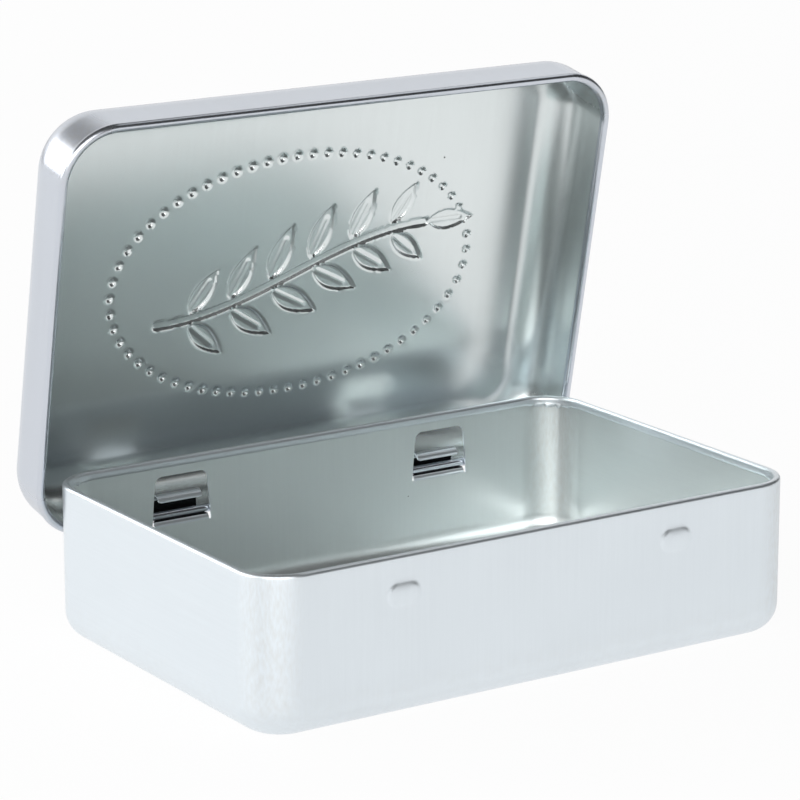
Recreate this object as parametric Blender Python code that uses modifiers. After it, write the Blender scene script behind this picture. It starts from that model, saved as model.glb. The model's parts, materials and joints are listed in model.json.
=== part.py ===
"""Hinged soap tin in tinplate: a drawn base pan, and a drawn lid that turns on the base's hooked tongues."""

import math

import bmesh
import bpy
from mathutils import Vector

MM = 0.001

# Sheet and fits
SHEET = 0.30 * MM
RUNNING_GAP = 0.30 * MM

# Base pan, outside sizes
BASE_LENGTH = 98.0 * MM
BASE_WIDTH = 64.0 * MM
BASE_HEIGHT = 25.2 * MM
BASE_CORNER_RADIUS = 7.5 * MM
BASE_BOTTOM_RADIUS = 4.6 * MM

# Rolled rim of the base: over the top, down a short leg, then tucked back towards the wall
HEM_RADIUS = 0.60 * MM
HEM_LEG = 0.45 * MM
HEM_TUCK_RADIUS = 0.50 * MM
HEM_TUCK_DEGREES = 60.0

# Lid, which closes over the base
LID_BEAD_RADIUS = 0.55 * MM
LID_SIDE_CLEARANCE = 0.80 * MM
LID_HEADROOM = 1.95 * MM
LID_EDGE_RADIUS = 6.6 * MM
LID_CURL_DEGREES = 255.0
LID_OPEN_DEGREES = 78.5

# Hinges: windows in the rear wall, tongues bent out of them, slots in the lid's rear skirt
HINGE_HEIGHT = 15.7 * MM
HINGE_SPACING = 49.6 * MM
WINDOW_WIDTH = 10.2 * MM
WINDOW_TOP = 22.1 * MM
WINDOW_CORNER_RADIUS = 1.3 * MM
TONGUE_SIDE_GAP = 0.40 * MM
SLOT_WIDTH = 8.8 * MM
SLOT_SIDE_GAP = 0.40 * MM
ROOT_BEND_RADIUS = 0.90 * MM
HOOK_LOWER_RADIUS = 1.30 * MM
HOOK_UPPER_RADIUS = 1.0 * MM
HOOK_LEG_HEIGHT = 1.8 * MM
HOOK_TURN_DEGREES = 180.0
HOOK_END_ROUND = 0.80 * MM
SLOT_CORNER_RADIUS = 0.50 * MM

# Snap bumps pressed out of the front wall
BUMP_LENGTH = 6.0 * MM
BUMP_HEIGHT = 3.8 * MM
BUMP_PROUD = 0.45 * MM
BUMP_CENTRE_HEIGHT = 19.2 * MM

# Fineness of the rounded forms, in steps
CORNER_STEPS = 9
BOTTOM_STEPS = 6
LID_EDGE_STEPS = 9
HEM_STEPS = 6
HEM_TUCK_STEPS = 3
CURL_STEP_DEGREES = 25.5
HOOK_STEPS = 10
BUMP_SEGMENTS = 24
BUMP_RINGS = 12
SHARP_EDGE_DEGREES = 40.0

# Small allowances for the solids
SEAM_INSET = 0.02 * MM
ROOT_DEPTH = 0.60 * MM
CUTTER_MARGIN = 1.0 * MM
SLOT_CUT_DEPTH = 3 * SHEET
SLOT_BITE = 0.10 * MM

# Places worked out from the sizes above
LID_OVERHANG = LID_SIDE_CLEARANCE + 2 * LID_BEAD_RADIUS
LID_LENGTH = BASE_LENGTH + 2 * LID_OVERHANG
LID_WIDTH = BASE_WIDTH + 2 * LID_OVERHANG
LID_CORNER_RADIUS = BASE_CORNER_RADIUS + LID_OVERHANG
LID_TOP = BASE_HEIGHT + LID_HEADROOM + SHEET
HINGE_AXIS = Vector((0.0, LID_WIDTH / 2 - LID_BEAD_RADIUS, HINGE_HEIGHT))
TONGUE_DROP = LID_BEAD_RADIUS + RUNNING_GAP + SHEET / 2
WINDOW_BOTTOM = HINGE_HEIGHT - TONGUE_DROP - ROOT_BEND_RADIUS
ROOT_WIDTH = WINDOW_WIDTH - 2 * TONGUE_SIDE_GAP
HOOK_WIDTH = SLOT_WIDTH - 2 * SLOT_SIDE_GAP
HOOK_BACK = HOOK_UPPER_RADIUS - HOOK_LOWER_RADIUS
HOOK_REACH = math.hypot(HOOK_BACK, HOOK_LEG_HEIGHT) + HOOK_UPPER_RADIUS + SHEET / 2
SLOT_FOOT = LID_BEAD_RADIUS - SLOT_BITE
SLOT_TOP = HOOK_REACH + RUNNING_GAP

TINPLATE_COLOUR = (0.72, 0.74, 0.76, 1.0)
TINPLATE_ROUGHNESS = 0.32


def clear_scene():
    for item in list(bpy.data.objects):
        bpy.data.objects.remove(item, do_unlink=True)


def make_collection(name):
    collection = bpy.data.collections.new(name)
    bpy.context.scene.collection.children.link(collection)
    return collection


def tinplate(name):
    material = bpy.data.materials.new(name)
    material.use_nodes = True
    shader = material.node_tree.nodes["Principled BSDF"]
    shader.inputs["Base Color"].default_value = TINPLATE_COLOUR
    shader.inputs["Metallic"].default_value = 1.0
    shader.inputs["Roughness"].default_value = TINPLATE_ROUGHNESS
    return material


def object_from(shape, name, collection):
    """Turns a bmesh into an object of the same name as its mesh."""
    mesh = bpy.data.meshes.new(name)
    shape.to_mesh(mesh)
    shape.free()
    item = bpy.data.objects.new(name, mesh)
    collection.objects.link(item)
    return item


def arc_angles(start, end, steps):
    return [math.radians(start + (end - start) * step / steps) for step in range(steps + 1)]


def corner_points(length, width, radius):
    """Centre of each corner's arc with the directions in which that arc's points lie, once round."""
    corners = []
    for sign_x, sign_y, start in ((1, 1, 0), (-1, 1, 90), (-1, -1, 180), (1, -1, 270)):
        centre = Vector((sign_x * (length / 2 - radius), sign_y * (width / 2 - radius), 0.0))
        for angle in arc_angles(start, start + 90, CORNER_STEPS):
            corners.append((centre, Vector((math.cos(angle), math.sin(angle), 0.0))))
    return corners


def drawn_pan(name, length, width, radius, section, collection):
    """Sheet metal pan: the flat face is drawn out through the section, a list of (inset, height) rings."""
    corners = corner_points(length, width, radius)

    def ring_point(index, inset, height):
        centre, direction = corners[index]
        return centre + direction * (radius - inset) + Vector((0.0, 0.0, height))

    pan = bmesh.new()
    first = [pan.verts.new(ring_point(index, *section[0])) for index in range(len(corners))]
    pan.faces.new(first)
    rim = list(pan.edges)
    ring = first
    for inset, height in section[1:]:
        drawn = bmesh.ops.extrude_edge_only(pan, edges=rim)["geom"]
        rim = [item for item in drawn if isinstance(item, bmesh.types.BMEdge)]
        fresh = {item for item in drawn if isinstance(item, bmesh.types.BMVert)}
        rim = [edge for edge in rim if edge.verts[0] in fresh and edge.verts[1] in fresh]
        lifted = []
        for index, old in enumerate(ring):
            new = next(edge.other_vert(old) for edge in old.link_edges if edge.other_vert(old) in fresh)
            new.co = ring_point(index, inset, height)
            lifted.append(new)
        ring = lifted
    bmesh.ops.recalc_face_normals(pan, faces=pan.faces)
    outward = 1.0 if section[1][1] < section[0][1] else -1.0
    pan.faces.ensure_lookup_table()
    if pan.faces[0].normal.z * outward < 0:
        bmesh.ops.reverse_faces(pan, faces=pan.faces)
    item = object_from(pan, name, collection)
    sheet = item.modifiers.new("Sheet", "SOLIDIFY")
    sheet.thickness = SHEET
    sheet.offset = -1.0
    sheet.use_even_offset = True
    return item


def base_section():
    """Base: flat bottom, rounded bottom edge, wall, then a rim rolled inwards with its edge tucked back."""
    bottom_radius = min(BASE_BOTTOM_RADIUS, BASE_CORNER_RADIUS - SHEET)
    rounded = [(bottom_radius * (1 - math.sin(angle)), bottom_radius * (1 - math.cos(angle)))
               for angle in arc_angles(0, 90, BOTTOM_STEPS)]
    hem_height = BASE_HEIGHT - HEM_RADIUS
    fold = [(HEM_RADIUS * (1 - math.cos(angle)), hem_height + HEM_RADIUS * math.sin(angle))
            for angle in arc_angles(0, 180, HEM_STEPS)]
    leg_foot = hem_height - HEM_LEG
    tuck = [(2 * HEM_RADIUS - HEM_TUCK_RADIUS * (1 - math.cos(angle)),
             leg_foot - HEM_TUCK_RADIUS * math.sin(angle))
            for angle in arc_angles(0, HEM_TUCK_DEGREES, HEM_TUCK_STEPS)]
    return rounded + fold + tuck


def lid_section():
    """Lid, heights from the hinge axis: flat panel, rounded edge, skirt, then a bead curled inwards."""
    edge_radius = min(LID_EDGE_RADIUS, LID_CORNER_RADIUS - SHEET)
    panel_height = LID_TOP - HINGE_HEIGHT
    rounded = [(edge_radius * (1 - math.sin(angle)), panel_height - edge_radius * (1 - math.cos(angle)))
               for angle in arc_angles(0, 90, LID_EDGE_STEPS)]
    curl_steps = round(LID_CURL_DEGREES / CURL_STEP_DEGREES)
    curl = [(LID_BEAD_RADIUS * (1 - math.cos(angle)), -LID_BEAD_RADIUS * math.sin(angle))
            for angle in arc_angles(0, LID_CURL_DEGREES, curl_steps)]
    return rounded + curl


def as_cutter(item):
    item.hide_render = True
    item.display_type = "WIRE"
    return item


def rounded_box(name, size, centre, radius, rounded_sides, cutters):
    """Box with its edges along Y rounded on the named sides, given as signs of Z."""
    box = bmesh.new()
    bmesh.ops.create_cube(box, size=1.0)
    bmesh.ops.scale(box, vec=size, verts=box.verts)
    lengthwise = [edge for edge in box.edges
                  if abs(edge.verts[0].co.y - edge.verts[1].co.y) > size[1] / 2
                  and math.copysign(1, edge.verts[0].co.z) in rounded_sides]
    bmesh.ops.bevel(box, geom=lengthwise, offset=radius, segments=HEM_STEPS, profile=0.5, affect="EDGES")
    item = as_cutter(object_from(box, name, cutters))
    item.location = centre
    return item


def window_cutter(name, centre_x, cutters):
    size = (WINDOW_WIDTH, SHEET + 2 * CUTTER_MARGIN, WINDOW_TOP - WINDOW_BOTTOM)
    centre = (centre_x, (BASE_WIDTH - SHEET) / 2, (WINDOW_TOP + WINDOW_BOTTOM) / 2)
    return rounded_box(name, size, centre, WINDOW_CORNER_RADIUS, (1.0,), cutters)


def slot_cutter(name, centre_x, cutters):
    """Slot in the lid's rear skirt, in the lid's own axes, with the hinge axis at the origin."""
    size = (SLOT_WIDTH, SLOT_CUT_DEPTH, SLOT_TOP - SLOT_FOOT)
    centre = (centre_x, LID_BEAD_RADIUS - SHEET / 2, (SLOT_TOP + SLOT_FOOT) / 2)
    return rounded_box(name, size, centre, SLOT_CORNER_RADIUS, (1.0, -1.0), cutters)


def tongue_path():
    """Middle of the tongue's sheet as (y, z, half width) from the hinge axis: root, run, hook, turned end."""
    wall = (BASE_WIDTH - SHEET) / 2 - HINGE_AXIS.y
    foot = WINDOW_BOTTOM - HINGE_HEIGHT
    root = ROOT_WIDTH / 2
    hook = HOOK_WIDTH / 2
    path = [(wall, foot - ROOT_DEPTH, root)]
    for angle in arc_angles(0, 90, HOOK_STEPS // 2):
        y = wall + ROOT_BEND_RADIUS * (1 - math.cos(angle))
        path.append((y, foot + ROOT_BEND_RADIUS * math.sin(angle), root))
    for angle in arc_angles(-90, 0, HOOK_STEPS):
        y = HOOK_LOWER_RADIUS * math.cos(angle)
        path.append((y, HOOK_LOWER_RADIUS * (1 + math.sin(angle)) - TONGUE_DROP, hook))
    turned = math.radians(HOOK_TURN_DEGREES)
    for angle in arc_angles(0, HOOK_TURN_DEGREES, HOOK_STEPS):
        y = HOOK_LOWER_RADIUS - HOOK_UPPER_RADIUS * (1 - math.cos(angle))
        from_round = max(HOOK_END_ROUND - HOOK_UPPER_RADIUS * (turned - angle), 0.0)
        narrowing = HOOK_END_ROUND - math.sqrt(max(HOOK_END_ROUND ** 2 - from_round ** 2, 0.0))
        path.append((y, HOOK_LEG_HEIGHT + HOOK_UPPER_RADIUS * math.sin(angle), hook - narrowing))
    return path


def tongue(name, centre_x, cutters):
    """Tongue that stays joined to the wall at the window's bottom edge and hooks round the lid's bead."""
    strip = bmesh.new()
    left = None
    right = None
    for y, z, half_width in tongue_path():
        next_left = strip.verts.new((-half_width, y, z))
        next_right = strip.verts.new((half_width, y, z))
        if left is not None:
            strip.faces.new((left, right, next_right, next_left))
        left = next_left
        right = next_right
    item = as_cutter(object_from(strip, name, cutters))
    item.location = HINGE_AXIS + Vector((centre_x, 0.0, 0.0))
    sheet = item.modifiers.new("Sheet", "SOLIDIFY")
    sheet.thickness = SHEET - 2 * SEAM_INSET
    sheet.offset = 0.0
    sheet.use_even_offset = True
    return item


def oblong_dome(name, length, height, proud, centre, cutters):
    """Oblong dome: a ball stretched along X between its two halves."""
    ball = bmesh.new()
    bmesh.ops.create_uvsphere(ball, u_segments=BUMP_SEGMENTS, v_segments=BUMP_RINGS, radius=height / 2)
    for point in ball.verts:
        if abs(point.co.x) > SEAM_INSET:
            point.co.x += math.copysign((length - height) / 2, point.co.x)
        point.co.y *= 2 * proud / height
    item = as_cutter(object_from(ball, name, cutters))
    item.location = centre
    return item


def add_boolean(item, other, operation):
    step = item.modifiers.new(other.name, "BOOLEAN")
    step.operation = operation
    step.object = other
    step.solver = "EXACT"


def finish(item, material):
    item.data.materials.append(material)
    item.data.shade_smooth()
    item.data.set_sharp_from_angle(angle=math.radians(SHARP_EDGE_DEGREES))


def make_base(parts, cutters):
    base = drawn_pan("base", BASE_LENGTH, BASE_WIDTH, BASE_CORNER_RADIUS, base_section(), parts)
    for side, sign in (("left", -1), ("right", 1)):
        centre_x = sign * HINGE_SPACING / 2
        add_boolean(base, window_cutter("window_" + side, centre_x, cutters), "DIFFERENCE")
        add_boolean(base, tongue("tongue_" + side, centre_x, cutters), "UNION")
        front = Vector((centre_x, -BASE_WIDTH / 2, BUMP_CENTRE_HEIGHT))
        bump = oblong_dome("bump_" + side, BUMP_LENGTH, BUMP_HEIGHT, BUMP_PROUD, front, cutters)
        hollow = oblong_dome("bump_hollow_" + side, BUMP_LENGTH - 2 * SHEET, BUMP_HEIGHT - 2 * SHEET,
                             BUMP_PROUD, front + Vector((0.0, SHEET, 0.0)), cutters)
        add_boolean(base, bump, "UNION")
        add_boolean(base, hollow, "DIFFERENCE")
    finish(base, tinplate("base_tinplate"))


def make_lid(parts, cutters):
    """The lid's origin is on the hinge axis, and it is turned open there."""
    lid = drawn_pan("lid", LID_LENGTH, LID_WIDTH, LID_CORNER_RADIUS, lid_section(), parts)
    for point in lid.data.vertices:
        point.co.y -= HINGE_AXIS.y
    lid.location = HINGE_AXIS
    lid.rotation_euler.x = -math.radians(LID_OPEN_DEGREES)
    for side, sign in (("left", -1), ("right", 1)):
        cutter = slot_cutter("slot_" + side, sign * HINGE_SPACING / 2, cutters)
        cutter.parent = lid
        add_boolean(lid, cutter, "DIFFERENCE")
    finish(lid, tinplate("lid_tinplate"))


def main():
    clear_scene()
    parts = make_collection("soap_tin")
    cutters = make_collection("cutters")
    make_base(parts, cutters)
    make_lid(parts, cutters)


main()
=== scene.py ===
# A hinged soap tin in bare tinplate, open and empty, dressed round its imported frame.
import json
import math

import bmesh
import bpy
import numpy as np
from mathutils import Matrix, Vector


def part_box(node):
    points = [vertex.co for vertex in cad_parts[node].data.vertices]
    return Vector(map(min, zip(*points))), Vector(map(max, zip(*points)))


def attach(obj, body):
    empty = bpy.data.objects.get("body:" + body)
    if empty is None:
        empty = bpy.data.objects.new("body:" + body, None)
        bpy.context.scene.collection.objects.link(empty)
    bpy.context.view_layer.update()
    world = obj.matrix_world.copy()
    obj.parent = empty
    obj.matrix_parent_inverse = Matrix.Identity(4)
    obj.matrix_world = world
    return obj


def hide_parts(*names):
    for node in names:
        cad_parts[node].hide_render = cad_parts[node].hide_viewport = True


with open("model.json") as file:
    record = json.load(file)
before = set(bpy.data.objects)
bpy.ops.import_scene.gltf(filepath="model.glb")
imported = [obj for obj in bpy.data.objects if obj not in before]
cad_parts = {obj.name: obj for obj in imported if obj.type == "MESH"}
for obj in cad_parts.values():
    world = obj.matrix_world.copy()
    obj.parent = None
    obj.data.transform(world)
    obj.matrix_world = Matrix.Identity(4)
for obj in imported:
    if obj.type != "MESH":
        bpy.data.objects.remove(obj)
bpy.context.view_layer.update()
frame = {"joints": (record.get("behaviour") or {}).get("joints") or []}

mm = 0.001


# helpers that every piece and material shares

def linear(hexColour):
    values = [int(hexColour[i:i + 2], 16) / 255 for i in (1, 3, 5)]
    return tuple(v / 12.92 if v <= 0.04045 else ((v + 0.055) / 1.055) ** 2.4 for v in values) + (1.0,)


def addNode(tree, kind, settings=None, links=None):
    # settings are the node's own attributes or its inputs' values, links are input: output socket
    node = tree.nodes.new(kind)
    for name, value in (settings or {}).items():
        if isinstance(name, str) and hasattr(node, name):
            setattr(node, name, value)
        else:
            node.inputs[name].default_value = value
    for name, socket in (links or {}).items():
        tree.links.new(socket, node.inputs[name])
    return node


def smoothStep(low, high, value):
    t = np.clip((value - low) / (high - low), 0.0, 1.0)
    return t * t * (3 - 2 * t)


def arc(start, end, steps):
    return [math.radians(start + (end - start) * i / steps) for i in range(steps + 1)]


def spaced(start, end, coarse, fine, zones):
    # steps from start to end, fine inside the zones and coarse elsewhere
    places = [start]
    while places[-1] < end:
        inside = any(low - coarse <= places[-1] < high for low, high in zones)
        places.append(places[-1] + (fine if inside else coarse))
    stretch = (end - start) / (places[-1] - start)
    return [start + (p - start) * stretch for p in places]


def waves(turn, parts):
    # a sum of ripples round the outline, each (count, start, height)
    return sum(np.sin(turn * count + start) * height for count, start, height in parts)


def newObject(name, mesh):
    item = bpy.data.objects.new(name, mesh)
    bpy.context.scene.collection.objects.link(item)
    return item


def finalMesh(item):
    # the mesh as its modifiers leave it
    evaluated = item.evaluated_get(bpy.context.evaluated_depsgraph_get())
    return bpy.data.meshes.new_from_object(evaluated)


def drop(items):
    for item in items:
        bpy.data.objects.remove(item, do_unlink=True)


# sizes that base and lid share, in metres, read from the frame wherever it holds them
baseLow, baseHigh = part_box("base")
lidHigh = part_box("lid")[1]
hinge = frame["joints"][0]

tin = {
    "length": 2 * baseHigh.x,
    "width": -2 * baseLow.y,                # 0.9 mm more than the CAD's: the box takes in the snap bumps
    "height": baseHigh.z,
    "overhang": lidHigh.x - baseHigh.x,     # the lid stands out this far all round
    "hingeAxis": Vector(hinge["pos_m"]),
    "openAngle": math.radians(-hinge["range_deg"][0]),
    "sheet": 0.30 * mm,
    "hingeSpacing": 49.6 * mm,
    "cornerSteps": 44,
    "sideStep": 0.9 * mm,
    "fineStep": 0.28 * mm,
    "fineReach": 6.5 * mm,                  # fine steps this far to each side of a hinge
    "bentShare": 0.2,                       # how drawn a straight bend is beside a corner
    "bendOnset": (0.1 * mm, 1.5 * mm),      # the bend's own stretch sets in over this depth below the panel
    "bendFade": 3 * mm,
    "drawnOnset": (0.5 * mm, 6 * mm),       # and a corner's over this depth
    "punchSteps": 10,
}
tin["hingeZones"] = [(s * tin["hingeSpacing"] / 2 - tin["fineReach"],
                      s * tin["hingeSpacing"] / 2 + tin["fineReach"]) for s in (-1, 1)]


# pressed sheet: an outline with its outward directions, drawn through a section of (inset, height)

def panOutline(length, width, radius):
    halfX, halfY = length / 2 - radius, width / 2 - radius
    alongX = spaced(-halfX, halfX, tin["sideStep"], tin["fineStep"], tin["hingeZones"])[1:-1]
    alongY = spaced(-halfY, halfY, tin["sideStep"], tin["sideStep"], [])[1:-1]
    points, outward = [], []

    def corner(signX, signY, start):
        for a in arc(start, start + 90, tin["cornerSteps"]):
            outward.append((math.cos(a), math.sin(a)))
            points.append((signX * halfX + radius * math.cos(a), signY * halfY + radius * math.sin(a)))

    def side(places, direction, flip):
        for p in reversed(places) if flip else places:
            outward.append(direction)
            points.append((p, direction[1] * width / 2) if direction[1] else (direction[0] * length / 2, p))

    corner(1, 1, 0)
    side(alongX, (0, 1), True)
    corner(-1, 1, 90)
    side(alongY, (-1, 0), True)
    corner(-1, -1, 180)
    side(alongX, (0, -1), False)
    corner(1, -1, 270)
    side(alongY, (1, 0), False)
    return np.array(points), np.array(outward)


def drawnWall(points, outward, section):
    # rings of vertices, one for each (inset, height), which may vary round the outline
    rings = []
    for inset, height in section:
        ring = np.zeros((len(points), 3))
        ring[:, :2] = points - outward * np.broadcast_to(inset, len(points))[:, None]
        ring[:, 2] = height
        rings.append(ring)
    rings = np.array(rings)
    count = len(points)
    here = np.arange(count)
    there = (here + 1) % count
    faces = []
    for k in range(len(rings) - 1):
        low, high = k * count, (k + 1) * count
        faces.extend(np.stack([low + here, low + there, high + there, high + here], 1).tolist())
    return rings.reshape(-1, 3), faces


def addSheet(item):
    # two empty materials only tell the sheet's two faces apart until readSides has noted them
    for side in ("outsideFace", "insideFace"):
        item.data.materials.append(bpy.data.materials.new(side))
    sheet = item.modifiers.new("sheet", "SOLIDIFY")
    sheet.thickness = tin["sheet"]
    sheet.offset = -1.0
    sheet.use_even_offset = True
    sheet.material_offset = 1


def readSides(mesh):
    # notes which faces lie on the tin's inside, then leaves the mesh with a single material
    inside = np.zeros(len(mesh.polygons), dtype=np.int32)
    mesh.polygons.foreach_get("material_index", inside)
    mesh.attributes.new("inside", "FLOAT", "FACE").data.foreach_set("value", inside.astype(np.float32))
    mesh.polygons.foreach_set("material_index", np.zeros_like(inside))
    mesh.materials.clear()


def addBoolean(item, other, operation):
    step = item.modifiers.new(other.name, "BOOLEAN")
    step.operation = operation
    step.object = other
    step.solver = "EXACT"


def roundedBox(name, size, centre, radius, roundedSides, taper=0.0):
    # a punch: its edges along Y are rounded on the named sides, which are signs of Z
    box = bmesh.new()
    bmesh.ops.create_cube(box, size=1.0)
    bmesh.ops.scale(box, vec=size, verts=box.verts)
    for vert in box.verts:
        vert.co.x *= 1 - math.copysign(taper, vert.co.z)
    lengthwise = [e for e in box.edges if abs(e.verts[0].co.y - e.verts[1].co.y) > size[1] / 2
                  and math.copysign(1, e.verts[0].co.z) in roundedSides]
    bmesh.ops.bevel(box, geom=lengthwise, offset=radius, segments=tin["punchSteps"], profile=0.5,
                    affect="EDGES")
    mesh = bpy.data.meshes.new(name)
    box.to_mesh(mesh)
    box.free()
    item = newObject(name, mesh)
    item.location = centre
    return item


def sheetPlaces(mesh, length, width, radius, panelHeight, sign, edgeRadius):
    # writes where each point lay on the flat sheet, in millimetres, and how hard it was drawn
    count = len(mesh.vertices)
    place = np.zeros(count * 3)
    mesh.vertices.foreach_get("co", place)
    place = place.reshape(-1, 3)
    beyond = np.maximum(np.abs(place[:, :2]) - [length / 2 - radius, width / 2 - radius], 0.0)
    size = np.maximum(np.linalg.norm(beyond, axis=1), 1e-9)
    direction = np.sign(place[:, :2]) * beyond / size[:, None]
    depth = np.maximum((place[:, 2] - panelHeight) * sign, 0.0)
    flat = (place[:, :2] + direction * depth[:, None]) / mm
    loops = np.zeros(len(mesh.loops), dtype=np.int32)
    mesh.loops.foreach_get("vertex_index", loops)
    layer = mesh.uv_layers.new(name="flatSheet")
    layer.uv.foreach_set("vector", flat[loops].astype(np.float32).ravel())
    inCorner = np.clip(np.minimum(beyond[:, 0], beyond[:, 1]) / size * 2, 0, 1)
    bent = smoothStep(*tin["bendOnset"], depth) * smoothStep(edgeRadius + tin["bendFade"], edgeRadius, depth)
    drawn = np.maximum(inCorner * smoothStep(*tin["drawnOnset"], depth), tin["bentShare"] * bent)
    mesh.attributes.new("drawn", "FLOAT", "POINT").data.foreach_set("value", drawn.astype(np.float32))


def finishSheet(item, sharpDegrees):
    item.data.shade_smooth()
    item.data.set_sharp_from_angle(angle=math.radians(sharpDegrees))


# base: a drawn pan with its rim rolled inwards, two hinge windows and two snap bumps
base = {
    "cornerRadius": 7.5 * mm,
    "bottomRadius": 4.6 * mm,
    "bottomSteps": 16,
    "hemRadius": 0.60 * mm,
    "hemLeg": 0.45 * mm,
    "hemLegRows": (0.35, 0.7),      # rows down the leg, so that the roll keeps its shading
    "hemTuckRadius": 0.50 * mm,
    "hemTuckDegrees": 60,
    "hemSteps": 14,
    "hemRagged": 0.55 * mm,         # how much longer and more open the raw edge is where the corners gathered
    "hemOpening": 0.8,              # how far it stands open for each part of that length
    "tornMean": 0.55,
    "tornWaves": ((23, 0.0, 0.22), (41, 1.3, 0.16), (67, 0.4, 0.12)),
    "puckerDepth": 0.018 * mm,      # upright ripples that drawing leaves in the corners
    "puckerFoot": 9.0 * mm,
    "puckerWaves": ((26, 0.7, 0.6), (43, 2.1, 0.4)),
    "windowWidth": 10.2 * mm,
    "windowTop": 22.1 * mm,
    "windowPunch": 8 * tin["sheet"],
    "windowCorner": 1.3 * mm,
    "windowTaper": 0.065,           # wider at its foot and narrower at its top by this share
    "bumpLength": 6.0 * mm,
    "bumpHeight": 3.8 * mm,
    "bumpProud": 0.25 * mm,
    "bumpCrisp": 0.8,
    "bumpShoulder": 0.72,           # share of the bump's radius that is flat at its crisp ends
    "bumpMargin": 0.6,              # finer steps reach this share of its height to each side
    "bumpCentre": 19.2 * mm,
    "frontTolerance": 0.001 * mm,
    "sharpDegrees": 38,             # an edge stays crisp where the sheet turns by more than this
}

# tongues: strips of the base's wall, bent out of the windows and hooked round the lid's bead
tongueShape = {
    "drop": 1.0 * mm,
    "rootBend": 0.90 * mm,
    "rootWidth": 10.0 * mm,
    "hookWidth": 8.0 * mm,
    "narrowFrom": 60,               # degrees of the root's bend at which it starts to narrow
    "lowerRadius": 1.30 * mm,
    "upperRadius": 1.0 * mm,
    "leg": {"Left": 1.9 * mm, "Right": 1.3 * mm},       # bent by hand, so the two differ
    "turnDegrees": 180,
    "endRound": 0.45 * mm,
    "rootDepth": 0.60 * mm,
    "seamInset": 0.02 * mm,
    "shadedHeight": 1.1 * mm,         # the hooks' inner faces are painted dark as shade up to here above the axis
    "shadedBehind": 0.1 * mm,
    "steps": 18,
}


def bumpHeightAt(x, z):
    # oblong dome, low and soft along its length and crisp at its two ends
    total = np.zeros_like(x)
    half = base["bumpHeight"] / 2
    for side in (-1, 1):
        reach = base["bumpLength"] / 2 - half
        fromSpine = np.maximum(np.abs(x - side * tin["hingeSpacing"] / 2) - reach, 0.0)
        away = np.hypot(fromSpine, z - base["bumpCentre"]) / half
        crisp = base["bumpCrisp"] * fromSpine / (half * np.maximum(away, 1e-6))
        plateau = smoothStep(1.0, base["bumpShoulder"], away)
        dome = np.clip(1 - away ** 2, 0, 1) * (1 - crisp) + plateau * crisp
        total += base["bumpProud"] * dome
    return total


def tonguePath(leg):
    wall = (tin["width"] - tin["sheet"]) / 2 - tin["hingeAxis"].y
    foot = -tongueShape["drop"] - tongueShape["rootBend"]
    root, hook = tongueShape["rootWidth"] / 2, tongueShape["hookWidth"] / 2
    bend, low, up = tongueShape["rootBend"], tongueShape["lowerRadius"], tongueShape["upperRadius"]
    path = [(wall, foot - tongueShape["rootDepth"], root)]
    for a in arc(0, 90, tongueShape["steps"] // 2):
        half = root + (hook - root) * smoothStep(tongueShape["narrowFrom"], 90, math.degrees(a))
        path.append((wall + bend * (1 - math.cos(a)), foot + bend * math.sin(a), half))
    for a in arc(-90, 0, tongueShape["steps"]):
        path.append((low * math.cos(a), low * (1 + math.sin(a)) - tongueShape["drop"], hook))
    turned = math.radians(tongueShape["turnDegrees"])
    for a in arc(0, tongueShape["turnDegrees"], tongueShape["steps"] * 2):
        short = max(tongueShape["endRound"] - up * (turned - a), 0.0)
        narrow = tongueShape["endRound"] - math.sqrt(max(tongueShape["endRound"] ** 2 - short ** 2, 0.0))
        path.append((low - up * (1 - math.cos(a)), leg + up * math.sin(a), hook - narrow))
    return path


def buildTongue(side, centreX):
    strip = bmesh.new()
    rows = [[strip.verts.new((half * share, y, z)) for share in (-1, 0, 1)]
            for y, z, half in tonguePath(tongueShape["leg"][side])]
    for lower, upper in zip(rows, rows[1:]):
        for i in (0, 1):
            strip.faces.new((lower[i], lower[i + 1], upper[i + 1], upper[i]))
    mesh = bpy.data.meshes.new("tongue" + side)
    strip.to_mesh(mesh)
    strip.free()
    item = newObject("tongue" + side, mesh)
    item.location = tin["hingeAxis"] + Vector((centreX, 0, 0))
    sheet = item.modifiers.new("sheet", "SOLIDIFY")
    sheet.thickness = tin["sheet"] - 2 * tongueShape["seamInset"]
    sheet.offset = 0.0
    return item


def paintHookShade(mesh):
    # painted shade: the hooks' inner faces, hidden in the gap round the bead, are painted near black
    count = len(mesh.polygons)
    centre, normal = np.zeros(count * 3), np.zeros(count * 3)
    mesh.polygons.foreach_get("center", centre)
    mesh.polygons.foreach_get("normal", normal)
    centre, normal = centre.reshape(-1, 3), normal.reshape(-1, 3)
    toAxis = np.array([0, tin["hingeAxis"].y, tin["hingeAxis"].z]) - centre
    toAxis[:, 0] = 0
    behindWall = centre[:, 1] > tin["width"] / 2 + tongueShape["shadedBehind"]
    shadedLow = centre[:, 2] < tin["hingeAxis"].z + tongueShape["shadedHeight"]
    hookShade = behindWall & shadedLow & ((toAxis * normal).sum(axis=1) > 0)
    mesh.attributes.new("hookShade", "FLOAT", "FACE").data.foreach_set("value", hookShade.astype(np.float32))


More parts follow.
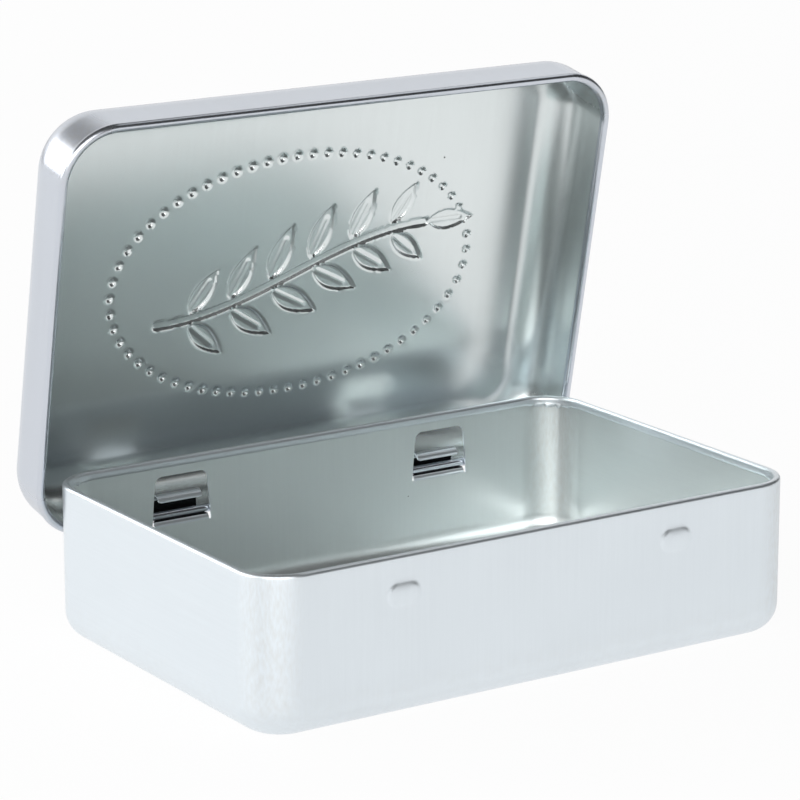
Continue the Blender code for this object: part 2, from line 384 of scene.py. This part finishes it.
def buildBase():
    radius, bottom, hem = base["cornerRadius"], base["bottomRadius"], base["hemRadius"]
    points, outward = panOutline(tin["length"], tin["width"], radius)
    rimFoot = tin["height"] - hem
    section = [(bottom * (1 - math.sin(a)), bottom * (1 - math.cos(a)))
               for a in arc(0, 90, base["bottomSteps"])]
    reach = base["bumpHeight"] * base["bumpMargin"]
    bumpZone = (base["bumpCentre"] - reach, base["bumpCentre"] + reach)
    section += [(0.0, z) for z in spaced(bottom, rimFoot, tin["sideStep"], tin["fineStep"], [bumpZone])[1:-1]]
    section += [(hem * (1 - math.cos(a)), rimFoot + hem * math.sin(a)) for a in arc(0, 180, base["hemSteps"])]
    gathered = np.abs(outward[:, 0] * outward[:, 1]) * 2
    turn = np.arctan2(outward[:, 1], outward[:, 0])
    longer = (base["tornMean"] + waves(turn, base["tornWaves"])) * gathered * base["hemRagged"]
    legFoot = rimFoot - base["hemLeg"]
    tuck = base["hemTuckRadius"]
    for share in base["hemLegRows"]:
        section.append((2 * hem, rimFoot - base["hemLeg"] * share))
    for a in arc(0, base["hemTuckDegrees"], base["hemSteps"] // 2):
        share = math.degrees(a) / base["hemTuckDegrees"]
        section.append((2 * hem - tuck * (1 - math.cos(a)) + longer * share * base["hemOpening"],
                        legFoot - tuck * math.sin(a) - longer * share))
    pucker = waves(turn, base["puckerWaves"]) * gathered * base["puckerDepth"]
    section = [(inset + pucker * float(smoothStep(base["puckerFoot"], rimFoot, height)), height)
               if bottom < np.min(height) < rimFoot and np.max(inset) == 0 else (inset, height)
               for inset, height in section]
    verts, faces = drawnWall(points, outward, section)
    onFront = verts[:, 1] < -tin["width"] / 2 + base["frontTolerance"]
    verts[onFront, 1] -= bumpHeightAt(verts[onFront, 0], verts[onFront, 2])
    faces.append(list(reversed(range(len(points)))))     # the flat bottom
    mesh = bpy.data.meshes.new("pressedBase")
    mesh.from_pydata(verts.tolist(), [], faces)
    item = newObject("pressedBase", mesh)
    addSheet(item)
    windowBottom = tin["hingeAxis"].z - tongueShape["drop"] - tongueShape["rootBend"]
    windowSize = (base["windowWidth"], base["windowPunch"], base["windowTop"] - windowBottom)
    tools = []
    for side, sign in (("Left", -1), ("Right", 1)):
        centreX = sign * tin["hingeSpacing"] / 2
        middle = (centreX, (tin["width"] - tin["sheet"]) / 2, (base["windowTop"] + windowBottom) / 2)
        window = roundedBox("window" + side, windowSize, middle, base["windowCorner"], (1.0,),
                            base["windowTaper"])
        tongue = buildTongue(side, centreX)
        addBoolean(item, window, "DIFFERENCE")
        addBoolean(item, tongue, "UNION")
        tools += [window, tongue]
    item.data = finalMesh(item)
    item.modifiers.clear()
    drop(tools)
    readSides(item.data)
    sheetPlaces(item.data, tin["length"], tin["width"], radius, 0.0, 1, bottom)
    paintHookShade(item.data)
    finishSheet(item, base["sharpDegrees"])
    return item


# lid: a drawn pan with a generous edge radius, a rolled bead and an embossed sprig on its panel
lid = {
    "cornerRadius": base["cornerRadius"] + tin["overhang"],
    "edgeRadius": 6.6 * mm,
    "edgeSteps": 24,
    "headroom": 1.95 * mm,
    "beadRadius": 0.72 * mm,
    "beadProud": 0.15 * mm,         # the bead stands out from the skirt by this much
    "curlDegrees": 255,
    "curlSteps": 26,
    "slotWidth": 8.8 * mm,
    "slotFoot": 0.62 * mm,
    "hookAir": 0.30 * mm,           # between a hook and its slot's upper edge
    "slotCorner": 0.50 * mm,
    "slotPunch": 3 * tin["sheet"],
    "gridStep": 0.26 * mm,
    "gridMargin": 7.8 * mm,
    "embossHeight": 0.36 * mm,
    "embossRamp": 0.55 * mm,
    "sharpDegrees": 30,
}


def segmentDistance(x, y, ax, ay, bx, by):
    along = np.clip(((x - ax) * (bx - ax) + (y - ay) * (by - ay)) / ((bx - ax) ** 2 + (by - ay) ** 2), 0, 1)
    return np.hypot(x - ax - along * (bx - ax), y - ay - along * (by - ay))


# the sprig: a stem with pairs of leaves inside an oval string of beads, all in millimetres
sprig = {
    "stemHalfLength": 25.0,
    "stemRise": 6.0,
    "stemHalfWidth": 0.75,
    "leafPairs": 6,
    "firstPair": 0.10,
    "pairStep": 0.150,
    "leafLength": 9.8,
    "leafHalfWidth": 1.95,
    "leafLean": 48,
    "leafGap": 1.5,
    "leafSmallest": 0.78,           # size of the pairs at the stem's ends, and how the middle ones swell
    "leafSwell": 0.22,
    "leafSwellStart": 0.8,
    "leafFoot": 0.8,                # below 1 the leaf is widest nearer its foot
    "leafFullness": 0.85,
    "tipLeafSize": 0.9,
    "tipLeafGap": 0.6,
    "veinHalfWidth": 0.32,
    "veinShare": 0.72,
    "veinDepth": 0.5,
    "stemSteps": 40,
    "beads": 62,
    "beadRadius": 0.62,
    "ovalHalfLength": 34.0,
    "ovalHalfWidth": 20.6,
    "ovalSteps": 2000,
}


def leafDistance(x, y, footX, footY, angle, length, halfWidth):
    # below zero inside a pointed leaf
    c, s = math.cos(angle), math.sin(angle)
    along = (x - footX) * c + (y - footY) * s
    across = -(x - footX) * s + (y - footY) * c
    share = np.clip(along / length, 0, 1)
    edge = halfWidth * np.sin(math.pi * share ** sprig["leafFoot"]) ** sprig["leafFullness"]
    past = np.maximum(np.maximum(-along, along - length), 0)
    within = np.maximum(edge - np.abs(across), 0) * (past == 0)
    return np.hypot(np.maximum(np.abs(across) - edge, 0), past) - within


def sprigHeight(x, y):
    # 0 to 1 over the lid's panel, x and y in millimetres
    ramp = lid["embossRamp"] / mm

    def plateau(distance):
        return smoothStep(ramp / 2, -ramp / 2, distance)

    def stemPoint(share):
        return sprig["stemHalfLength"] * (2 * share - 1), sprig["stemRise"] * math.cos(math.pi * share)

    def stemAngle(share):
        slope = -sprig["stemRise"] * math.pi * math.sin(math.pi * share)
        return math.atan2(slope, 2 * sprig["stemHalfLength"])

    stops = [stemPoint(i / sprig["stemSteps"]) for i in range(sprig["stemSteps"] + 1)]
    stem = np.full_like(x, math.inf)
    for (ax, ay), (bx, by) in zip(stops, stops[1:]):
        stem = np.minimum(stem, segmentDistance(x, y, ax, ay, bx, by))
    shape = plateau(stem - sprig["stemHalfWidth"])
    leaves = [(*stemPoint(1.0), stemAngle(1.0), sprig["tipLeafSize"], sprig["tipLeafGap"])]
    for pair in range(sprig["leafPairs"]):
        share = sprig["firstPair"] + sprig["pairStep"] * pair
        swell = math.sin(math.pi * (pair + sprig["leafSwellStart"]) / sprig["leafPairs"])
        size = sprig["leafSmallest"] + sprig["leafSwell"] * swell
        for lean in (-sprig["leafLean"], sprig["leafLean"]):
            leaves.append((*stemPoint(share), stemAngle(share) + math.radians(lean), size, sprig["leafGap"]))
    for footX, footY, angle, size, gap in leaves:
        startX, startY = footX + math.cos(angle) * gap, footY + math.sin(angle) * gap
        length = sprig["leafLength"] * size
        leaf = plateau(leafDistance(x, y, startX, startY, angle, length, sprig["leafHalfWidth"] * size))
        veinLength = length * sprig["veinShare"]
        vein = segmentDistance(x, y, startX, startY, startX + math.cos(angle) * veinLength,
                               startY + math.sin(angle) * veinLength)
        groove = smoothStep(sprig["veinHalfWidth"] * 2, 0, vein)
        shape = np.maximum(shape, leaf * (1 - sprig["veinDepth"] * groove))
    turns = np.linspace(0, 2 * math.pi, sprig["ovalSteps"])
    ovalX, ovalY = sprig["ovalHalfLength"] * np.cos(turns), sprig["ovalHalfWidth"] * np.sin(turns)
    run = np.concatenate([[0], np.cumsum(np.hypot(np.diff(ovalX), np.diff(ovalY)))])
    for i in range(sprig["beads"]):
        here = run[-1] * i / sprig["beads"]
        away = np.hypot(x - np.interp(here, run, ovalX), y - np.interp(here, run, ovalY))
        shape = np.maximum(shape, plateau(away - sprig["beadRadius"]))
    return shape


def buildLid():
    length, width = tin["length"] + 2 * tin["overhang"], tin["width"] + 2 * tin["overhang"]
    radius, edge, bead = lid["cornerRadius"], lid["edgeRadius"], lid["beadRadius"]
    panel = tin["height"] + lid["headroom"] + tin["sheet"] - tin["hingeAxis"].z
    points, outward = panOutline(length, width, radius)
    section = [(edge * (1 - math.sin(a)), panel - edge * (1 - math.cos(a)))
               for a in arc(0, 90, lid["edgeSteps"])]
    middle = bead - lid["beadProud"]
    fromSkirt = -math.degrees(math.acos(middle / bead))
    crease = -bead * math.sin(math.radians(fromSkirt))
    upSkirt = spaced(crease, panel - edge, tin["sideStep"], tin["sideStep"], [])[1:-1]
    section += [(0.0, z) for z in reversed(upSkirt)]
    section += [(middle - bead * math.cos(a), -bead * math.sin(a))
                for a in arc(fromSkirt, lid["curlDegrees"], lid["curlSteps"])]
    verts, faces = drawnWall(points, outward, section)
    faces = [list(reversed(f)) for f in faces]
    ringCount = len(points)
    halfX, halfY = length / 2 - lid["gridMargin"], width / 2 - lid["gridMargin"]
    columns, rows = round(2 * halfX / lid["gridStep"]), round(2 * halfY / lid["gridStep"])
    gridX, gridY = np.meshgrid(np.linspace(-halfX, halfX, columns + 1), np.linspace(-halfY, halfY, rows + 1))
    rise = sprigHeight(gridX / mm, gridY / mm) * lid["embossHeight"]
    gridVerts = np.stack([gridX, gridY, panel + rise], -1).reshape(-1, 3)
    first = len(verts)
    number = first + np.arange(len(gridVerts)).reshape(rows + 1, columns + 1)
    quads = np.stack([number[:-1, :-1], number[:-1, 1:], number[1:, 1:], number[1:, :-1]], -1).reshape(-1, 4)
    mesh = bpy.data.meshes.new("embossedLid")
    mesh.from_pydata(np.vstack([verts, gridVerts]).tolist(), [], faces + quads.tolist())
    shape = bmesh.new()
    shape.from_mesh(mesh)
    rim = [e for e in shape.edges if e.is_boundary and all(
        v.index < ringCount or v.index >= first for v in e.verts)]
    bmesh.ops.triangle_fill(shape, edges=rim, use_beauty=True)
    bmesh.ops.recalc_face_normals(shape, faces=shape.faces)
    shape.faces.ensure_lookup_table()
    panelFace = max(shape.faces, key=lambda f: f.calc_center_median().z)
    if panelFace.normal.z < 0:
        bmesh.ops.reverse_faces(shape, faces=shape.faces)
    for vert in shape.verts:
        vert.co.y -= tin["hingeAxis"].y
    shape.to_mesh(mesh)
    shape.free()
    item = newObject("embossedLid", mesh)
    addSheet(item)
    slots = []
    skirt = (width - tin["sheet"]) / 2 - tin["hingeAxis"].y
    low, up = tongueShape["lowerRadius"], tongueShape["upperRadius"]
    for side, sign in (("Left", -1), ("Right", 1)):
        top = math.hypot(low - up, tongueShape["leg"][side] + up) + tin["sheet"] / 2 + lid["hookAir"]
        slot = roundedBox("slot" + side, (lid["slotWidth"], lid["slotPunch"], top - lid["slotFoot"]),
                          (sign * tin["hingeSpacing"] / 2, skirt, (top + lid["slotFoot"]) / 2),
                          lid["slotCorner"], (1.0, -1.0))
        addBoolean(item, slot, "DIFFERENCE")
        slots.append(slot)
    item.data = finalMesh(item)
    item.modifiers.clear()
    drop(slots)
    readSides(item.data)
    item.data.transform(Matrix.Translation((0, tin["hingeAxis"].y, 0)))
    sheetPlaces(item.data, length, width, radius, panel, -1, edge)
    item.data.transform(Matrix.Translation(tin["hingeAxis"]) @ Matrix.Rotation(-tin["openAngle"], 4, "X")
                        @ Matrix.Translation((0, -tin["hingeAxis"].y, 0)))
    finishSheet(item, lid["sharpDegrees"])
    return item


# Tinplate, cold rolled and tinned. The outside is left bare; the inside wears a thin clear lacquer, which
# turns the metal's cold blue to a faint green. Rolling leaves hairlines one way, which draw reflections out
# along the sheet's long side, and drawing leaves the bends and corners more matt, with a faint orange peel.
tinplate = {
    "insideColour": "#E2E8E8",
    "duskyShare": 0.03,             # how much darker the cloudy places are
    # near black painted shade for the hooks' hidden inner faces
    "hookShadeColour": "#17181A",
    "gatheredColour": "#BDB6A8",    # the tin is thinner where the corners were drawn, and reads warmer
    "gatheredShare": 0.24,
    "gatheredSpan": (0.3, 0.8),     # noise values between which the warmer spots come in
    "mottleSpan": (0.7, 1.3),       # and those of streaks and clouds together
    "roughnessSpread": 0.01,
    "drawnRoughness": 0.08,
    "hairlineBlur": 0.30,           # anisotropy: how far the hairlines draw reflections out
    "streakWidth": 0.55,            # mm, drawn some ten times as coarse as the mill's own, so that it shows
    "streakLength": 22.0,           # all the patterns' sizes are in millimetres
    "streakRoughness": 0.65,
    "mottleDetail": 3.0,
    "cloudSize": 18.0,
    "peelSize": 1.5,                # about three times as coarse as real orange peel, so that it shows
    "peelDepth": 0.007 * mm,
    "speckCell": 7.0,
    "speckRadius": 0.022,
    "speckShare": 0.35,
}


# the two pieces differ a little: the base is more satin and has more bloom, a fine white haze that scatters
# light softly, and the lid's outside is a greyer copy of the same tinplate, painted shade that dims its
# reflections
baseFinish = {"outsideColour": "#E1E8ED", "roughness": 0.33, "bloom": 0.10, "shift": (0, 0, 0)}
# the lid's greyer outside colour is painted shade
lidFinish = {"outsideColour": "#CED3DB", "roughness": 0.24, "bloom": 0.03, "shift": (140, 60, 0)}


def tinplateMaterial(name, outsideColour, roughness, bloom, shift):
    material = bpy.data.materials.new(name)
    material.use_nodes = True
    tree = material.node_tree
    tree.nodes.clear()
    place = addNode(tree, "ShaderNodeUVMap", {"uv_map": "flatSheet"})
    moved = addNode(tree, "ShaderNodeMapping", {"Location": shift}, {"Vector": place.outputs["UV"]})
    where = moved.outputs["Vector"]
    inside = addNode(tree, "ShaderNodeAttribute", {"attribute_name": "inside"})
    drawn = addNode(tree, "ShaderNodeAttribute", {"attribute_name": "drawn"})
    # the faces that take the hooks' painted shade
    hookShade = addNode(tree, "ShaderNodeAttribute", {"attribute_name": "hookShade"})

    # hairlines run across the sheet, from its front edge to its rear edge
    streakPlace = addNode(tree, "ShaderNodeMapping", {
        "Scale": (1 / tinplate["streakWidth"], 1 / tinplate["streakLength"], 1.0)}, {"Vector": where})
    streak = addNode(tree, "ShaderNodeTexNoise", {
        "Scale": 1.0, "Detail": tinplate["mottleDetail"], "Roughness": tinplate["streakRoughness"]},
                     {"Vector": streakPlace.outputs["Vector"]})
    cloud = addNode(tree, "ShaderNodeTexNoise", {
        "Scale": 1 / tinplate["cloudSize"], "Detail": tinplate["mottleDetail"]}, {"Vector": where})
    peel = addNode(tree, "ShaderNodeTexNoise", {"Scale": 1 / tinplate["peelSize"], "Detail": 1.0},
                   {"Vector": where})
    mottle = addNode(tree, "ShaderNodeMath", {"operation": "ADD"},
                     {0: streak.outputs["Fac"], 1: cloud.outputs["Fac"]})
    mottleLow, mottleHigh = tinplate["mottleSpan"]

    # a few specks of handling dirt, in some of the cells only
    speckPlace = addNode(tree, "ShaderNodeMapping", {"Scale": (1 / tinplate["speckCell"],) * 3},
                         {"Vector": where})
    cell = addNode(tree, "ShaderNodeTexVoronoi", {"Scale": 1.0}, {"Vector": speckPlace.outputs["Vector"]})
    near = addNode(tree, "ShaderNodeMath", {"operation": "LESS_THAN", 1: tinplate["speckRadius"]},
                   {0: cell.outputs["Distance"]})
    chosen = addNode(tree, "ShaderNodeMath", {"operation": "LESS_THAN", 1: tinplate["speckShare"]},
                     {0: cell.outputs["Color"]})
    speck = addNode(tree, "ShaderNodeMath", {"operation": "MULTIPLY"},
                    {0: near.outputs["Value"], 1: chosen.outputs["Value"]})
    # darkened by the handling specks, which are dirt, and by the hooks' painted shade
    dark = addNode(tree, "ShaderNodeMath", {"operation": "MAXIMUM"},
                   {0: speck.outputs["Value"], 1: hookShade.outputs["Fac"]})

    # a mix node's colour sockets are 6 and 7, and its colour output is 2
    finish = addNode(tree, "ShaderNodeMix", {"data_type": "RGBA", 6: linear(outsideColour),
                                             7: linear(tinplate["insideColour"])}, {0: inside.outputs["Fac"]})
    shade = addNode(tree, "ShaderNodeMapRange", {
        "From Min": mottleLow, "From Max": mottleHigh, "To Min": 1.0, "To Max": 1 - tinplate["duskyShare"]},
                    {"Value": mottle.outputs["Value"]})
    mottled = addNode(tree, "ShaderNodeVectorMath", {"operation": "SCALE"},
                      {0: finish.outputs[2], "Scale": shade.outputs["Result"]})
    spotsLow, spotsHigh = tinplate["gatheredSpan"]
    gatheredSpots = addNode(tree, "ShaderNodeMapRange", {
        "From Min": spotsLow, "From Max": spotsHigh, "To Min": 0.0, "To Max": tinplate["gatheredShare"]},
                            {"Value": peel.outputs["Fac"]})
    gathered = addNode(tree, "ShaderNodeMath", {"operation": "MULTIPLY"},
                       {0: gatheredSpots.outputs["Result"], 1: drawn.outputs["Fac"]})
    warmed = addNode(tree, "ShaderNodeMix", {"data_type": "RGBA", 7: linear(tinplate["gatheredColour"])},
                     {0: gathered.outputs["Value"], 6: mottled.outputs["Vector"]})
    colour = addNode(tree, "ShaderNodeMix", {"data_type": "RGBA", 7: linear(tinplate["hookShadeColour"])},
                     {0: dark.outputs["Value"], 6: warmed.outputs[2]})
    spread = tinplate["roughnessSpread"]
    rough = addNode(tree, "ShaderNodeMapRange", {
        "From Min": mottleLow, "From Max": mottleHigh, "To Min": roughness - spread,
        "To Max": roughness + spread}, {"Value": mottle.outputs["Value"]})
    rougher = addNode(tree, "ShaderNodeMath", {"operation": "MULTIPLY_ADD", 1: tinplate["drawnRoughness"]},
                      {0: drawn.outputs["Fac"], 2: rough.outputs["Result"]})
    peelHeight = addNode(tree, "ShaderNodeMath", {"operation": "MULTIPLY"},
                         {0: peel.outputs["Fac"], 1: drawn.outputs["Fac"]})
    skin = addNode(tree, "ShaderNodeBump", {"Distance": tinplate["peelDepth"]},
                   {"Height": peelHeight.outputs["Value"]})
    grain = addNode(tree, "ShaderNodeTangent", {"direction_type": "UV_MAP", "uv_map": "flatSheet"})
    shader = addNode(tree, "ShaderNodeBsdfPrincipled", {
        "Metallic": 1 - bloom, "Anisotropic": tinplate["hairlineBlur"]},
                     {"Base Color": colour.outputs[2], "Roughness": rougher.outputs["Value"],
                      "Normal": skin.outputs["Normal"], "Tangent": grain.outputs["Tangent"]})
    addNode(tree, "ShaderNodeOutputMaterial", None, {"Surface": shader.outputs["BSDF"]})
    return material


def coat(item, material):
    item.data.materials.clear()
    item.data.materials.append(material)


pressedBase = buildBase()
coat(pressedBase, tinplateMaterial("bareTinplateBase", **baseFinish))
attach(pressedBase, "base_body")
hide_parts("base")
print("base pressed:", len(pressedBase.data.polygons), "faces")

embossedLid = buildLid()
coat(embossedLid, tinplateMaterial("bareTinplateLid", **lidFinish))
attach(embossedLid, "lid_body")
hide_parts("lid")
print("lid pressed:", len(embossedLid.data.polygons), "faces")


# stage: a white paper floor in a dim room, with softboxes in front of the tin, to its left and above its
# right end, and a low window behind it. Bright metal shows its lamps' shapes, so these decide how it reads.
stage = {
    "floorSize": 40.0,
    "floorColour": "#F4F5F6",
    "floorWhite": 0.95,             # share that is seen and mirrored as plain white; the rest takes light
    "paperRoughness": 0.9,
    "paperSheen": 0.1,
    "roomColour": "#F2F5F8",
    "roomStrength": 0.03,
    "lampDistance": 1.3,
}

# heading and elevation in degrees, headings from the tin's front towards its right; sizes in metres
lamps = {
    "softboxFront": {"heading": -35, "elevation": 24, "width": 1.5, "height": 0.72, "radiance": 4.4},
    "softboxLeft": {"heading": -120, "elevation": 21, "width": 1.7, "height": 0.66, "radiance": 4.2},
    "softboxTop": {"heading": 85, "elevation": 56, "width": 0.9, "height": 0.35, "radiance": 1.0},
    "windowBehind": {"heading": 155, "elevation": 29, "width": 2.4, "height": 1.15, "radiance": 0.93},
}


def buildFloor():
    shape = bmesh.new()
    bmesh.ops.create_grid(shape, x_segments=1, y_segments=1, size=stage["floorSize"] / 2)
    mesh = bpy.data.meshes.new("floor")
    shape.to_mesh(mesh)
    shape.free()
    floor = newObject("floor", mesh)
    material = bpy.data.materials.new("mattPaperFloor")
    material.use_nodes = True
    tree = material.node_tree
    tree.nodes.clear()
    paper = addNode(tree, "ShaderNodeBsdfPrincipled", {
        "Base Color": linear(stage["floorColour"]), "Roughness": stage["paperRoughness"],
        "Specular IOR Level": stage["paperSheen"]})
    white = addNode(tree, "ShaderNodeEmission", {"Color": (1, 1, 1, 1), "Strength": 1.0})
    rays = addNode(tree, "ShaderNodeLightPath")
    seen = addNode(tree, "ShaderNodeMath", {"operation": "MAXIMUM"},
                   {0: rays.outputs["Is Camera Ray"], 1: rays.outputs["Is Glossy Ray"]})
    shown = addNode(tree, "ShaderNodeMath", {"operation": "MAXIMUM"},
                    {0: seen.outputs["Value"], 1: rays.outputs["Is Transmission Ray"]})
    share = addNode(tree, "ShaderNodeMath", {"operation": "MULTIPLY", 1: stage["floorWhite"]},
                    {0: shown.outputs["Value"]})
    both = addNode(tree, "ShaderNodeMixShader", None, {0: share.outputs["Value"], 1: paper.outputs["BSDF"],
                                                       2: white.outputs["Emission"]})
    addNode(tree, "ShaderNodeOutputMaterial", None, {"Surface": both.outputs["Shader"]})
    coat(floor, material)


def buildWorld():
    world = bpy.data.worlds.new("room")
    bpy.context.scene.world = world
    world.use_nodes = True
    room = world.node_tree.nodes["Background"]
    room.inputs["Color"].default_value = linear(stage["roomColour"])
    room.inputs["Strength"].default_value = stage["roomStrength"]


def addLamp(name, heading, elevation, width, height, radiance):
    data = bpy.data.lights.new(name, "AREA")
    data.shape = "RECTANGLE"
    data.size = width
    data.size_y = height
    data.energy = radiance * math.pi * width * height
    lamp = bpy.data.objects.new(name, data)
    bpy.context.scene.collection.objects.link(lamp)
    heading, elevation = math.radians(heading), math.radians(elevation)
    away = Vector((math.sin(heading) * math.cos(elevation), -math.cos(heading) * math.cos(elevation),
                   math.sin(elevation)))
    lamp.location = away * stage["lampDistance"]
    lamp.rotation_mode = "QUATERNION"
    lamp.rotation_quaternion = away.to_track_quat("Z", "Y")


buildFloor()
buildWorld()
for name, values in lamps.items():
    addLamp(name, **values)


# camera: stands where the photograph was taken from, found from the tin's own outlines
camera = {
    "lens": 160.2,                  # millimetres, as is the sensor's width
    "sensor": 36.0,
    "azimuth": -33.314,
    "elevation": 14.606,
    "roll": -0.044,
    "distance": 560.49 * mm,
    "aimRight": -3.526 * mm,
    "aimUp": 36.409 * mm,
    "nearest": 10 * mm,
}


def buildCamera():
    azimuth, elevation, roll = (math.radians(camera[k]) for k in ("azimuth", "elevation", "roll"))
    back = Vector((math.sin(azimuth) * math.cos(elevation), -math.cos(azimuth) * math.cos(elevation),
                   math.sin(elevation)))
    right = Vector((math.cos(azimuth), math.sin(azimuth), 0.0))
    up = back.cross(right)
    right, up = right * math.cos(roll) + up * math.sin(roll), up * math.cos(roll) - right * math.sin(roll)
    data = bpy.data.cameras.new("camera")
    data.lens = camera["lens"]
    data.sensor_width = camera["sensor"]
    item = bpy.data.objects.new("camera", data)
    bpy.context.scene.collection.objects.link(item)
    place = right * camera["aimRight"] + up * camera["aimUp"] + back * camera["distance"]
    turned = Matrix((right, up, back)).transposed().to_4x4()
    item.matrix_world = Matrix.Translation(place) @ turned
    data.clip_start = camera["nearest"]
    bpy.context.scene.camera = item


buildCamera()
bpy.context.scene.view_settings.view_transform = "Standard"

print("stage, lamps and camera set")
